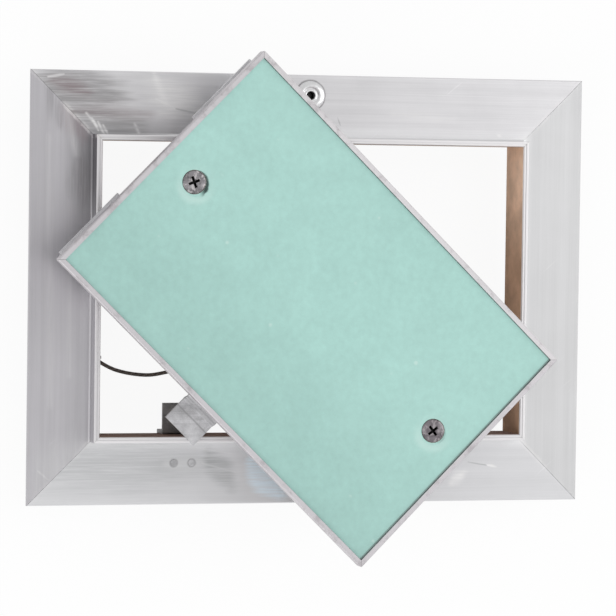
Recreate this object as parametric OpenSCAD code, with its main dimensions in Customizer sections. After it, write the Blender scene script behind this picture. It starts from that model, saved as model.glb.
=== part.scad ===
// Ceiling access panel: a mitred aluminium frame with a raised rim, and a lift-out door whose edge
// profile holds a moisture-resistant plasterboard. The door lies across the frame on its back bars,
// tied to the frame by a safety cord.
// Millimetres, with +Z towards the room. The origin is the middle of the frame, in the plane of the
// flange's back face, which seats on the ceiling.

/* [Frame] */
// Overall width of the frame across its flanges
frame_w = 200; // [190:1:320]
// Overall height of the frame across its flanges
frame_h = 150; // [140:1:260]
// Width of the flange, from the collar's outer face to the frame's edge
flange_w = 22; // [21:0.1:27]
// Thickness of the flange
flange_t = 1.6; // [1.2:0.1:2.4]
// Thickness of the collar round the opening
collar_t = 2; // [1.4:0.1:2.4]
// Height of the collar's rim above the flange's front face
rim_h = 7; // [6:0.1:12]
// Depth of the collar behind the flange's back face
collar_d = 10.4; // [9.6:0.1:14]
// Radius of the root between collar and flange
root_r = 0.8; // [0.4:0.1:1.2]
// Width of the groove along the top of the rim
groove_w = 0.3; // [0.2:0.05:0.5]
// Gap between two members at a mitre
mitre_gap = 0.05; // [0.02:0.01:0.1]
// Length of each leg of a corner angle behind the flange
angle_leg = 16; // [10:1:24]
// Thickness of a corner angle, which stays inside the flange's root
angle_t = 0.7; // [0.4:0.1:0.8]

/* [Keepers and catch] */
// Distance of each keeper from the middle of the bottom member
keeper_x = 45; // [36:1:52]
// Width of a keeper
keeper_w = 12.4; // [11:0.1:16]
// Thickness of a keeper
keeper_t = 1.2; // [1:0.1:1.5]
// Reach of a keeper's ledge into the opening
keeper_reach = 11; // [8:0.1:13]
// Distance of a keeper's rivets from the collar's outer face
keeper_rivet_in = 7.6; // [6:0.1:9]
// Distance between a keeper's two rivets
keeper_pitch = 6.4; // [5:0.1:7]
// Place of the spring catch along the top member
catch_x = -0.8; // [-10:0.1:10]
// Width of the spring catch
catch_w = 12.4; // [10:0.1:16]
// Thickness of the spring catch
catch_t = 0.8; // [0.6:0.1:1]
// Distance of the catch's rivet from the collar's outer face
catch_rivet_in = 14.8; // [12:0.1:16]
// Diameter of the catch rivet's head
pop_head_d = 10.4; // [8.6:0.1:11]
// Diameter of the catch rivet's shank
pop_d = 4.8; // [4:0.1:4.8]
// Diameter of the hole that the rivet's mandrel leaves
pop_hole_d = 3; // [2:0.1:3.2]

/* [Door] */
// Gap between the door and the opening, on each side
door_gap = 0.7; // [0.5:0.1:1.2]
// Thickness of the door's edge at its lip
edge_t = 1.8; // [1.4:0.1:2.2]
// Height of the lip above the undercut
lip_h = 4; // [3:0.1:5]
// How far the edge draws in below its lip
undercut = 2.6; // [2:0.1:3]
// Width of the ledge that carries the board
ledge_w = 12; // [11:0.1:14]
// Thickness of the ledge
ledge_t = 1.5; // [1.2:0.1:2]
// Thickness of the board
board_t = 9.5; // [8:0.1:10.5]
// How far the board's face lies below the lip
board_recess = 0.8; // [0.5:0.1:1.2]
// Gap between the board and the edge profile
board_gap = 0.35; // [0.2:0.05:0.5]
// Thickness of the board's facing paper
paper_t = 0.4; // [0.3:0.05:0.6]
// Distance of the board screws from the ends of the door
screw_in = 14.8; // [14.2:0.1:18]
// Side step of the left board screw from the middle line
screw_off_left = 1.5; // [-4:0.1:4]
// Side step of the right board screw from the middle line
screw_off_right = 1.2; // [-4:0.1:4]
// Diameter of a board screw's head
screw_head_d = 8; // [7:0.1:8.6]
// Diameter of a board screw's shank
screw_d = 3.5; // [3:0.1:4]
// Length of a board screw
screw_len = 16; // [14:0.1:17]
// How far a board screw's head is driven below the board's face
screw_sink = 0.3; // [0.1:0.1:0.6]
// Width of a back bar
bar_w = 10; // [9:0.1:11]
// Thickness of a back bar's walls
bar_t = 1.2; // [1:0.1:1.5]
// Distance of a back bar's ends from the door's long edges
bar_end = 4; // [3.6:0.1:5]
// Rounding of the door's four corners
corner_r = 0.8; // [0.4:0.1:1.2]

/* [Tongue and strike] */
// Width of the hook tongue
tongue_w = 14; // [12:0.1:18]
// Thickness of the hook tongue
tongue_t = 1.5; // [1.2:0.1:1.8]
// Reach of the tongue beyond the door's edge
tongue_out = 9.3; // [6:0.1:10]
// Clearance between the tongue and the collar when the door is shut
tongue_clear = 0.2; // [0.1:0.1:0.4]
// Width of the strike blade
strike_w = 12; // [10:0.1:16]
// Thickness of the strike blade
strike_t = 1.2; // [1:0.1:1.4]
// Radius of the bead that the catch snaps over
bead_r = 0.7; // [0.5:0.05:0.8]

/* [Safety cord] */
// Diameter of the safety cord
cord_d = 1.3; // [1:0.1:1.6]
// Diameter of the crimped sleeves on its ends
sleeve_d = 2.8; // [2.6:0.1:3.4]
// Length of a crimped sleeve
sleeve_l = 5; // [4:0.1:6]

/* [Door at rest] */
// Turn of the door on the frame, in degrees
door_turn = -44.5; // [-48:0.1:-42]
// Place of the door's middle, to the right of the frame's middle
door_x = -6.3; // [-9:0.1:-4]
// Place of the door's middle, above the frame's middle
door_y = -6.4; // [-9:0.1:-4]

/* [Hidden] */
$fn = 48;

// Colours
aluminium = "#c4c4c8";
dark_aluminium = "#a9a7ac";
zinc_steel = "#aaaaac";
dark_steel = "#4a474a";
spring_steel = "#77777c";
board_green = "#a8d2c8";
gypsum = "#e8e4da";
kraft = "#b9a98c";
cord_grey = "#4b4340";

// Frame
cham = 0.3;
seam = 0.01;
opening_w = frame_w - 2 * (flange_w + collar_t);
opening_h = frame_h - 2 * (flange_w + collar_t);
rim_z = flange_t + rim_h;
collar_z = -collar_d;
collar_span = rim_z - collar_z;
member_u = collar_t + flange_w;
collar_u = collar_t + root_r;
angle_z = -1.2;
angle_h = 7.8;

// Feet of the keepers and of the catch
foot_gap = 0.5;
foot_z = collar_z - foot_gap - keeper_t;
keeper_base = 13;
wall_gap = 0.2;
catch_base_l = 20.5;
leaf_lift = 0.3;
leaf_z = foot_z + leaf_lift + catch_t / 2;
nose_out = 4.2;
leaf_out = 2.4;
leaf_tip_out = 2;
catch_rivet_y = opening_h / 2 + collar_t + catch_rivet_in;
keeper_rivet_y = -(opening_h / 2 + collar_t + keeper_rivet_in);

// Rivets
fit = 0.05;
rivet_d = 2.4;
rivet_head_d = 4.4;
rivet_head_h = 0.9;
flat_head_h = 0.6;
sunk_h = 0.9;

// Door
door_w = opening_w - 2 * door_gap;
door_h = opening_h - 2 * door_gap;
door_d = board_recess + board_t + ledge_t;
stand_d = collar_span + tongue_clear + tongue_t;
door_z = rim_z + stand_d;
ledge_top = -(board_recess + board_t);
slope = undercut / (door_d - lip_h);
ledge_z = rim_z - door_d;
board_w = door_w - 2 * (edge_t + board_gap);
board_h = door_h - 2 * (edge_t + board_gap);
board_top = -board_recess;
board_draw = slope * (board_recess + board_t - lip_h);
screw_x = door_w / 2 - screw_in;
screw_top = board_top - screw_sink;
screw_hole = 0.2;
bar_step = 1.5;
bar_x = screw_x - bar_step;
ledge_mid = 7.6;

// Corner plates under the ledge
plate_out = 0.4;
plate_in = 3.4;
plate_w = 10.5;
plate_l = 28.6;
plate_t = 1.2;

// Tongue and strike
tongue_leg = 3.2;
tongue_root = 11;
tongue_step = 1.5;
tongue_bend_in = 0.9;
tongue_bend_out = 0.1;
tongue_low = -(stand_d - tongue_t / 2);
strike_face = 4;
strike_root = 11;
strike_end = stand_d - 1.1;
bead_d = 16.5;
rivet_pitch = 7.4;

// Cord tabs
tab_t = 1;
tab_h = 4.6;
tab_z = collar_z;
tab_y = -24.2;
tab_l = 9.3;
tab_out = 3.3;
tab_hole_out = 1.95;
tab_hole_d = 1.6;
tab_hole_z = tab_z + tab_h / 2;
tab_rivet_y = tab_y - 5.8;
door_tab_y = -4;
door_tab_h = 6.4;
door_tab_top = -(door_d + 1.2);
door_tab_x = -(bar_x - bar_w / 2);

// Lay of the cord, from the frame's tab round under the door to the door's tab
cord_lay = [
    [-73.4, -23.7, -7.4], [-73.3, -24.8, -7.4], [-72.5, -25.7, -7.5], [-70.9, -26.7, -8],
    [-68.6, -27.9, -9], [-65.6, -29.1, -10.2], [-61.6, -30.1, -11.1], [-57.5, -30.7, -11.4],
    [-53.5, -30.85, -11.4], [-49.6, -30.3, -11.4], [-45, -29.2, -11.4], [-38.5, -26.8, -11.4],
    [-31, -23, -11.4], [-24, -18, -11.4], [-18, -12, -11.4], [-13.5, -5, -11.4],
    [-11, 3, -11.4], [-11, 11, -11.4], [-12.6, 19, -11.2], [-16, 27, -9.8],
    [-21, 32.8, -6.5], [-27.4, 35.6, -1.5], [-34, 35.4, 4.8], [-39.6, 32.6, 10.2],
    [-43, 29.5, 12.8], [-44.9, 27.6, 13.1], [-46.1, 26.4, 13.1]];
cord_sides = 8;
cord_floor = foot_z + cord_d / 2 + 0.05;
cord_from = [-opening_w / 2 + tab_hole_out, tab_y + tab_t / 2, tab_hole_z];
cord_to = door_point([door_tab_x + tab_hole_out, door_tab_y - tab_t / 2,
    door_tab_top - door_tab_h / 2]);
cord_last = len(cord_lay) - 1;
cord_shift = [cord_from - cord_lay[0], cord_to - cord_lay[cord_last]];

// A point of the door's own frame, where the door lies
function door_point(p) = [
    door_x + p[0] * cos(door_turn) - p[1] * sin(door_turn),
    door_y + p[0] * sin(door_turn) + p[1] * cos(door_turn),
    door_z + p[2]];

// The lay follows its two ends, and stays above the floor
function laid(i) = let (s = i / cord_last,
    p = cord_lay[i] + (1 - s) * cord_shift[0] + s * cord_shift[1])
    [p[0], p[1], max(p[2], cord_floor)];
cord_route = [for (i = [0 : cord_last]) laid(i)];

// A strip bent along a path, drawn in its own section
module strip(path, t) {
    for (i = [0 : len(path) - 2]) {
        step = path[i + 1] - path[i];
        translate(path[i]) rotate(atan2(step[1], step[0]))
            translate([0, -t / 2]) square([norm(step), t]);
    }
    for (i = [1 : len(path) - 2])
        translate(path[i]) circle(d = t);
}

// Draws a section (outward, up) along X, centred
module along_x(length) {
    rotate([90, 0, 90]) translate([0, 0, -length / 2]) linear_extrude(length) children();
}

// Cuts a section to one mitred member: half is its half length where the section's first axis is 0
module mitred(half, u0, u1, z0, z1) {
    intersection() {
        along_x(2 * (half + abs(u1) + 1)) children();
        translate([0, 0, z0 - 1]) linear_extrude(z1 - z0 + 2) polygon([
            [-(half + u0 - mitre_gap), u0 - seam], [half + u0 - mitre_gap, u0 - seam],
            [half + u1 - mitre_gap, u1 + seam], [-(half + u1 - mitre_gap), u1 + seam]]);
    }
}

// A concave root fillet in the corner at the origin, filling +X and +Y
module root_fillet(r) {
    difference() {
        square(r);
        translate([r, r]) circle(r);
    }
}

// Section of the frame: the collar with its rim, and the flange
module frame_section() {
    difference() {
        union() {
            polygon([[0, collar_z + cham], [cham, collar_z], [collar_t - cham, collar_z],
                [collar_t, collar_z + cham], [collar_t, 0], [member_u - cham, 0],
                [member_u, cham], [member_u, flange_t - cham], [member_u - cham, flange_t],
                [collar_t, flange_t], [collar_t, rim_z - cham], [collar_t - cham, rim_z],
                [cham, rim_z], [0, rim_z - cham]]);
            translate([collar_t, flange_t]) root_fillet(root_r);
            translate([collar_t, 0]) mirror([0, 1]) root_fillet(root_r);
        }
        translate([(collar_t - groove_w) / 2, rim_z - groove_w]) square([groove_w, 1]);
    }
}

module frame_member(half_opening) {
    mitred(half_opening, 0, member_u, collar_z, rim_z) frame_section();
}

// Section of the door's edge, with its outer face at 0 and its lip's top at height 0
module edge_section() {
    polygon([[-cham, 0], [0, -cham], [0, -lip_h], [-undercut, -door_d], [-ledge_w, -door_d],
        [-ledge_w, ledge_top], [-(edge_t + board_draw), ledge_top], [-edge_t, -lip_h],
        [-edge_t, 0]]);
}

module door_member(half_length) {
    difference() {
        mitred(half_length, -ledge_w, 0, -door_d, 0) edge_section();
        for (end = [0, 1])
            mirror([end, 0, 0]) translate([half_length - corner_r, -corner_r, -door_d - 1])
                difference() {
                    cube([corner_r + 1, corner_r + 1, door_d + 2]);
                    translate([0, 0, -1]) cylinder(h = door_d + 4, r = corner_r);
                }
    }
}

// Puts a shape drawn in the door's own frame, from its lip's top down, where the door lies
module on_door() {
    translate([door_x, door_y, door_z]) rotate(door_turn) children();
}

// A rivet with a sunk flush head at the top of a grip and a formed head below
module sunk_rivet(grip) {
    rotate_extrude() polygon([[0, 0], [rivet_head_d / 2, 0], [rivet_d / 2, -sunk_h],
        [rivet_d / 2, -grip], [rivet_head_d / 2, -grip],
        [rivet_head_d / 2 - 0.4, -(grip + rivet_head_h)], [0, -(grip + rivet_head_h)]]);
}

// The hole for such a rivet
module sunk_hole(grip) {
    rotate_extrude() polygon([[0, 1], [rivet_head_d / 2 + fit, 1], [rivet_head_d / 2 + fit, 0],
        [rivet_d / 2 + fit, -sunk_h], [rivet_d / 2 + fit, -(grip + 1)], [0, -(grip + 1)]]);
}

// Places along the door's ledge
module at_bar_rivets(sides) {
    for (x = [-bar_x, bar_x], y = sides)
        translate([x, y * (door_h / 2 - ledge_mid), ledge_top]) children();
}

module at_plate_rivets(ends, on_short) {
    for (x = ends, y = [-1, 1]) {
        place = on_short ? [ledge_mid - 0.4, plate_in + plate_l - 8]
            : [plate_out + plate_w - 2.3, plate_in + 1.8];
        translate([x * (door_w / 2 - place[0]), y * (door_h / 2 - place[1]), ledge_top])
            children();
    }
}

module at_pair(y) {
    for (x = [-rivet_pitch / 2, rivet_pitch / 2])
        translate([x, y, ledge_top]) children();
}

// Frame members
module frame_top() {
    color(aluminium) difference() {
        translate([0, opening_h / 2, 0]) frame_member(opening_w / 2);
        translate([catch_x, catch_rivet_y, -1]) cylinder(h = flange_t + 2, d = pop_d + 2 * fit);
    }
}

module frame_bottom() {
    color(aluminium) difference() {
        rotate(180) translate([0, opening_h / 2, 0]) frame_member(opening_w / 2);
        at_keeper_rivets() translate([0, 0, -1])
            cylinder(h = flange_t + 2, d = rivet_d + 2 * fit);
    }
}

module frame_left() {
    color(dark_aluminium) difference() {
        rotate(90) translate([0, opening_w / 2, 0]) frame_member(opening_h / 2);
        translate([-opening_w / 2, tab_rivet_y, tab_hole_z]) rotate([0, -90, 0])
            cylinder(h = 3 * collar_t, d = rivet_d + 2 * fit, center = true);
    }
}

module frame_right() {
    color(aluminium) rotate(-90) translate([0, opening_w / 2, 0]) frame_member(opening_h / 2);
}

// Corner angles that hold the mitres together behind the flange
module frame_corner_angles() {
    side_x = opening_w / 2 + collar_t + angle_t / 2;
    side_y = opening_h / 2 + collar_t + angle_t / 2;
    color(zinc_steel) for (mx = [0, 1], my = [0, 1])
        mirror([mx, 0, 0]) mirror([0, my, 0]) translate([0, 0, angle_z - angle_h])
            linear_extrude(angle_h) strip([[side_x, side_y - angle_leg], [side_x, side_y],
                [side_x - angle_leg, side_y]], angle_t);
}

// Keepers: strips riveted behind the flange, folded round the collar to a ledge for the door
module at_keeper_rivets() {
    for (side = [-1, 1], step = [-1, 1])
        translate([side * keeper_x + step * keeper_pitch / 2, keeper_rivet_y, 0]) children();
}

module keeper(x) {
    mid = collar_u + keeper_t / 2;
    inner = -(wall_gap + keeper_t / 2);
    color(dark_steel) difference() {
        translate([x, 0, 0]) rotate(180) translate([0, opening_h / 2, 0]) along_x(keeper_w)
            strip([[collar_t + keeper_base, -keeper_t / 2], [mid, -keeper_t / 2],
                [mid, foot_z + keeper_t / 2], [inner, foot_z + keeper_t / 2],
                [inner, ledge_z - keeper_t / 2], [-keeper_reach, ledge_z - keeper_t / 2]],
                keeper_t);
        at_keeper_rivets() translate([0, 0, -2 * keeper_t])
            cylinder(h = 3 * keeper_t, d = rivet_d + 2 * fit);
    }
}

module keeper_left() {
    keeper(-keeper_x);
}

module keeper_right() {
    keeper(keeper_x);
}

module keeper_rivets() {
    color(aluminium) at_keeper_rivets() {
        translate([0, 0, -keeper_t]) cylinder(h = keeper_t + flange_t + 0.1, d = rivet_d);
        translate([0, 0, -keeper_t - rivet_head_h]) cylinder(h = rivet_head_h, d = rivet_head_d);
    }
}

// Spring catch: a fixed base behind the top flange, and the leaf that snaps over the strike
module catch_base() {
    mid = collar_u + catch_t / 2;
    color(spring_steel) difference() {
        translate([catch_x, opening_h / 2, 0]) along_x(catch_w)
            strip([[collar_t + catch_base_l, -catch_t / 2], [mid, -catch_t / 2], [mid, foot_z]],
                catch_t);
        translate([catch_x, catch_rivet_y, -2]) cylinder(h = 4, d = pop_d + 2 * fit);
    }
}

module catch_leaf() {
    nose_z = -6.2;
    rise = 2;
    color(spring_steel) translate([catch_x, opening_h / 2, 0]) along_x(catch_w)
        strip([[collar_u, leaf_z], [-leaf_out, leaf_z], [-leaf_out, nose_z - rise],
            [-nose_out, nose_z], [-leaf_out, nose_z + rise], [-leaf_tip_out, nose_z + 1.9 * rise]],
            catch_t);
}

module catch_rivet() {
    head_r = pop_head_d / 2;
    hole_r = pop_hole_d / 2;
    shank_r = pop_d / 2;
    bulb_r = shank_r + 0.8;
    stub = -0.6;
    color(aluminium) translate([catch_x, catch_rivet_y, 0]) rotate_extrude() polygon([
        [0, stub], [0, -4.6], [shank_r, -4.6], [bulb_r, -3.8], [bulb_r, -1.8], [bulb_r - 0.6, -catch_t],
        [shank_r, -catch_t], [shank_r, flange_t], [head_r, flange_t],
        [head_r - 0.15, flange_t + 0.5], [head_r - 0.8, flange_t + 1],
        [head_r - 1.7, flange_t + 1.3], [head_r - 2.2, flange_t + 1.25],
        [hole_r + 0.4, flange_t + 0.8], [hole_r, flange_t + 0.55], [hole_r, stub]]);
}

// Cord tabs: a bent strip with a hole, one inside the left collar and one on the left back bar
module tab_section(length) {
    strip([[tab_t / 2, -length], [tab_t / 2, 0], [tab_out, 0]], tab_t);
}

module cord_tab_frame() {
    color(zinc_steel) difference() {
        translate([-opening_w / 2, tab_y, tab_z]) linear_extrude(tab_h) tab_section(tab_l);
        translate([-opening_w / 2 + tab_hole_out, tab_y, tab_hole_z]) rotate([90, 0, 0])
            cylinder(h = 3 * tab_t, d = tab_hole_d, center = true);
        translate([-opening_w / 2, tab_rivet_y, tab_hole_z]) rotate([0, 90, 0])
            cylinder(h = 3 * tab_t, d = rivet_d + 2 * fit, center = true);
    }
}

module cord_tab_rivet() {
    grip = collar_t + tab_t;
    color(aluminium) translate([-opening_w / 2 + tab_t, tab_rivet_y, tab_hole_z])
        rotate([0, 90, 0]) {
            cylinder(h = rivet_head_h, d = rivet_head_d);
            translate([0, 0, -grip]) cylinder(h = grip, d = rivet_d);
            translate([0, 0, -grip - flat_head_h]) cylinder(h = flat_head_h, d = rivet_head_d);
        }
}

module cord_sleeve_frame() {
    color(zinc_steel) translate([-opening_w / 2 + tab_hole_out, tab_y + tab_t / 2, tab_hole_z])
        rotate([-90, 0, 0]) cylinder(h = sleeve_l, d = sleeve_d);
}

module cord_tab_door() {
    hole_z = door_tab_top - door_tab_h / 2;
    color(zinc_steel) on_door() difference() {
        translate([door_tab_x, door_tab_y, door_tab_top - door_tab_h]) linear_extrude(door_tab_h)
            mirror([0, 1]) tab_section(tab_l);
        translate([door_tab_x + tab_hole_out, door_tab_y, hole_z]) rotate([90, 0, 0])
            cylinder(h = 3 * tab_t, d = tab_hole_d, center = true);
    }
}

module cord_sleeve_door() {
    color(zinc_steel) on_door()
        translate([door_tab_x + tab_hole_out, door_tab_y - tab_t / 2, door_tab_top - door_tab_h / 2])
            rotate([90, 0, 0]) cylinder(h = sleeve_l, d = sleeve_d);
}

// The cord: rings along a smooth curve through the route's points, joined to one tube
function curve(a, b, c, d, s) = 0.5 * (2 * b + (c - a) * s + (2 * a - 5 * b + 4 * c - d) * s * s
    + (3 * b - a - 3 * c + d) * s * s * s);
function clamped(i) = cord_route[max(0, min(len(cord_route) - 1, i))];
function unit(v) = v / norm(v);
cord_points = [for (i = [0 : len(cord_route) - 2], s = [0, 0.5])
    curve(clamped(i - 1), clamped(i), clamped(i + 1), clamped(i + 2), s),
    cord_route[len(cord_route) - 1]];
cord_count = len(cord_points);
function heading(i) = unit(cord_points[min(i + 1, cord_count - 1)] - cord_points[max(i - 1, 0)]);
function ring(i) = let (t = heading(i), side = unit(cross(t, [0, 0, 1])), up = cross(side, t))
    [for (k = [0 : cord_sides - 1])
        cord_points[i] + cord_d / 2 * (cos(360 * k / cord_sides) * side
            + sin(360 * k / cord_sides) * up)];

module safety_cord() {
    rings = [for (i = [0 : cord_count - 1]) each ring(i)];
    walls = [for (i = [0 : cord_count - 2], k = [0 : cord_sides - 1])
        let (a = i * cord_sides + k, b = i * cord_sides + (k + 1) % cord_sides)
        [a, a + cord_sides, b + cord_sides, b]];
    first = [for (k = [0 : cord_sides - 1]) k];
    last = [for (k = [cord_sides - 1 : -1 : 0]) (cord_count - 1) * cord_sides + k];
    color(cord_grey) polyhedron(points = rings, faces = concat(walls, [first, last]));
}

// Door edges
module door_edge_top() {
    color(aluminium) on_door() difference() {
        translate([0, door_h / 2, 0]) door_member(door_w / 2);
        at_bar_rivets([1]) sunk_hole(ledge_t);
        at_plate_rivets([-1, 1], false) sunk_hole(ledge_t);
        at_pair(door_h / 2 - ledge_mid) sunk_hole(ledge_t);
    }
}

module door_edge_bottom() {
    color(aluminium) on_door() difference() {
        rotate(180) translate([0, door_h / 2, 0]) door_member(door_w / 2);
        at_bar_rivets([-1]) sunk_hole(ledge_t);
        at_plate_rivets([-1, 1], false) sunk_hole(ledge_t);
        at_pair(-(door_h / 2 - ledge_mid)) sunk_hole(ledge_t);
    }
}

module door_edge_left() {
    color(aluminium) on_door() difference() {
        rotate(90) translate([0, door_w / 2, 0]) door_member(door_h / 2);
        at_plate_rivets([-1], true) sunk_hole(ledge_t);
    }
}

module door_edge_right() {
    color(aluminium) on_door() difference() {
        rotate(-90) translate([0, door_w / 2, 0]) door_member(door_h / 2);
        at_plate_rivets([1], true) sunk_hole(ledge_t);
    }
}

// Plates that tie the door's mitres under the ledge
module door_corner_plates() {
    color(zinc_steel) on_door() difference() {
        for (mx = [0, 1], my = [0, 1])
            mirror([mx, 0, 0]) mirror([0, my, 0])
                translate([door_w / 2 - plate_out - plate_w, door_h / 2 - plate_in - plate_l,
                    -door_d - plate_t])
                    cube([plate_w, plate_l, plate_t]);
        at_plate_rivets([-1, 1], true) sunk_hole(ledge_t + plate_t);
        at_plate_rivets([-1, 1], false) sunk_hole(ledge_t + plate_t);
    }
}

module door_corner_rivets() {
    color(aluminium) on_door() {
        at_plate_rivets([-1, 1], true) sunk_rivet(ledge_t + plate_t);
        at_plate_rivets([-1, 1], false) sunk_rivet(ledge_t + plate_t);
    }
}

// Board: gypsum between a green face paper and a plain back paper
module board_outline(width) {
    half = width / 2;
    draw = board_draw - slope * paper_t;
    polygon([[-half, board_top - paper_t], [half, board_top - paper_t], [half, -lip_h],
        [half - draw, ledge_top + paper_t], [-(half - draw), ledge_top + paper_t],
        [-half, -lip_h]]);
}

module at_screws() {
    translate([-screw_x, screw_off_left, 0]) children();
    translate([screw_x, screw_off_right, 0]) children();
}

module screw_profile(grow) {
    head_r = screw_head_d / 2 + grow;
    shank_r = screw_d / 2 + grow;
    rotate_extrude() polygon([[0, 0], [head_r, 0], [head_r, -0.5], [shank_r + 0.7, -2],
        [shank_r, -3.4], [shank_r, 3 - screw_len - grow], [0, -screw_len - grow]]);
}

module board_core() {
    color(gypsum) on_door() difference() {
        intersection() {
            along_x(board_w) board_outline(board_h);
            rotate(90) along_x(board_h) board_outline(board_w);
        }
        at_screws() translate([0, 0, screw_top]) {
            screw_profile(screw_hole);
            cylinder(h = 2, r = screw_head_d / 2 + screw_hole);
        }
    }
}

module board_face_paper() {
    color(board_green) on_door() difference() {
        translate([-board_w / 2, -board_h / 2, board_top - paper_t])
            cube([board_w, board_h, paper_t]);
        at_screws() translate([0, 0, board_top - 1])
            cylinder(h = 2, r = screw_head_d / 2 + screw_hole);
    }
}

module board_back_paper() {
    back_w = board_w - 2 * board_draw;
    back_h = board_h - 2 * board_draw;
    color(kraft) on_door() difference() {
        translate([-back_w / 2, -back_h / 2, ledge_top]) cube([back_w, back_h, paper_t]);
        at_screws() translate([0, 0, ledge_top - 1]) cylinder(h = 2, r = screw_d / 2 + screw_hole);
    }
}

// Back bars: channels across the door that take the board screws and stand on the frame's rim
module back_bar(side, screw_y) {
    web = -door_d;
    color(zinc_steel) on_door() difference() {
        translate([side * bar_x, 0, 0]) rotate(90) along_x(door_h - 2 * bar_end) union() {
            translate([-bar_w / 2, web - bar_t]) square([bar_w, bar_t]);
            for (leg = [-bar_w / 2, bar_w / 2 - bar_t])
                translate([leg, -stand_d]) square([bar_t, stand_d + web]);
        }
        translate([side * screw_x, screw_y, web - 2 * bar_t]) cylinder(h = 3 * bar_t, d = screw_d + 2 * fit);
        at_bar_rivets([-1, 1]) sunk_hole(ledge_t + bar_t);
    }
}

module back_bar_left() {
    back_bar(-1, screw_off_left);
}

module back_bar_right() {
    back_bar(1, screw_off_right);
}

module bar_rivets() {
    color(aluminium) on_door() at_bar_rivets([-1, 1]) sunk_rivet(ledge_t + bar_t);
}

// Board screws with a cross recess
module board_screws() {
    recess_w = 4.6;
    recess_t = 1;
    color(dark_steel) on_door() at_screws() translate([0, 0, screw_top]) difference() {
        screw_profile(0);
        for (turn = [20, 110])
            rotate(turn) translate([-recess_w / 2, -recess_t / 2, -1.8])
                cube([recess_w, recess_t, 2]);
    }
}

// Hook tongue on the door's lower long edge
module hook_tongue() {
    root_z = -door_d - tongue_t / 2;
    high = tongue_low + tongue_step;
    color(zinc_steel) on_door() difference() {
        rotate(180) translate([0, door_h / 2, 0]) along_x(tongue_w)
            strip([[-tongue_root, root_z], [-tongue_leg, root_z], [-tongue_leg, high],
                [-tongue_bend_in, high], [tongue_bend_out, tongue_low], [tongue_out, tongue_low]],
                tongue_t);
        at_pair(-(door_h / 2 - ledge_mid)) sunk_hole(ledge_t + tongue_t);
    }
}

module tongue_rivets() {
    color(aluminium) on_door() at_pair(-(door_h / 2 - ledge_mid)) sunk_rivet(ledge_t + tongue_t);
}

// Strike blade on the door's upper long edge, with the bead that the catch snaps over
module strike_blade() {
    root_z = -door_d - strike_t / 2;
    blade_u = -(strike_face + strike_t / 2);
    color(zinc_steel) on_door() difference() {
        translate([0, door_h / 2, 0]) along_x(strike_w) {
            strip([[-strike_root, root_z], [blade_u, root_z], [blade_u, -strike_end]], strike_t);
            translate([-strike_face - 0.2, -bead_d]) circle(bead_r + 0.2);
        }
        at_pair(door_h / 2 - ledge_mid) sunk_hole(ledge_t + strike_t);
    }
}

module strike_rivets() {
    color(aluminium) on_door() at_pair(door_h / 2 - ledge_mid) sunk_rivet(ledge_t + strike_t);
}

frame_top();
frame_bottom();
frame_left();
frame_right();
frame_corner_angles();
keeper_left();
keeper_right();
keeper_rivets();
catch_base();
catch_rivet();
catch_leaf();
cord_tab_frame();
cord_tab_rivet();
cord_sleeve_frame();
safety_cord();
cord_sleeve_door();
cord_tab_door();
door_edge_top();
door_edge_bottom();
door_edge_left();
door_edge_right();
door_corner_plates();
door_corner_rivets();
board_core();
board_face_paper();
board_back_paper();
back_bar_left();
back_bar_right();
bar_rivets();
board_screws();
hook_tongue();
tongue_rivets();
strike_blade();
strike_rivets();
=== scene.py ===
"""Looks of a ceiling access panel: an aluminium frame with a plasterboard door lying across it."""

import logging
import math
from collections.abc import Iterable
from dataclasses import dataclass
from enum import Enum
from functools import cache

import bmesh
import bpy
from mathutils import Matrix, Vector


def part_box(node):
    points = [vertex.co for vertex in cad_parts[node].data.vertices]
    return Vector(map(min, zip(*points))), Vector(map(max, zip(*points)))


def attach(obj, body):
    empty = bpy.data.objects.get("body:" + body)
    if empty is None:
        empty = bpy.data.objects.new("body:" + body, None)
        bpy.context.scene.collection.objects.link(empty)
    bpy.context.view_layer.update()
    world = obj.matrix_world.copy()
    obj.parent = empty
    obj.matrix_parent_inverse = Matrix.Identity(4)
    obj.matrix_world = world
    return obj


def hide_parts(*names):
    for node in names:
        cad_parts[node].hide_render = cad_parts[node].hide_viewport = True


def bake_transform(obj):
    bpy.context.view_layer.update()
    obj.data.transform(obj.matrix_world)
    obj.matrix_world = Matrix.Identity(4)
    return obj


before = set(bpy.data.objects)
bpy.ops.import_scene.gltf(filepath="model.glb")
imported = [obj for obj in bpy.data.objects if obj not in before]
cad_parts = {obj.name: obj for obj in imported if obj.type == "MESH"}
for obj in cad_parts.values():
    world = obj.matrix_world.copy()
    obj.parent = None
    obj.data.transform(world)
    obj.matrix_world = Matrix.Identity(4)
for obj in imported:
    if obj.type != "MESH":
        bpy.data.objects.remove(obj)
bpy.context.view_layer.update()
LOG = logging.getLogger("access_panel")
MM = 0.001
Colour = tuple[float, float, float, float]
Point = tuple[float, float]
Place = tuple[float, float, float]
ORIGIN = (0.0, 0.0, 0.0)
FLAT = (1.0, 1.0, 0.0)
# Points that are nearer than this count as one.
NEAR = 0.0001 * MM


class Body(Enum):
    """The bodies that new pieces ride on."""

    FRAME = "frame"
    DOOR = "door"


class Run(Enum):
    """The axis along which an extrusion or a sheet was drawn."""

    ALONG_X = 0
    ALONG_Y = 1

    def drawn(self, share: float) -> Place:
        """Gives the scale of a grain that is drawn out along this axis."""
        return (share, 1.0, 1.0) if self is Run.ALONG_X else (1.0, share, 1.0)


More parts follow.
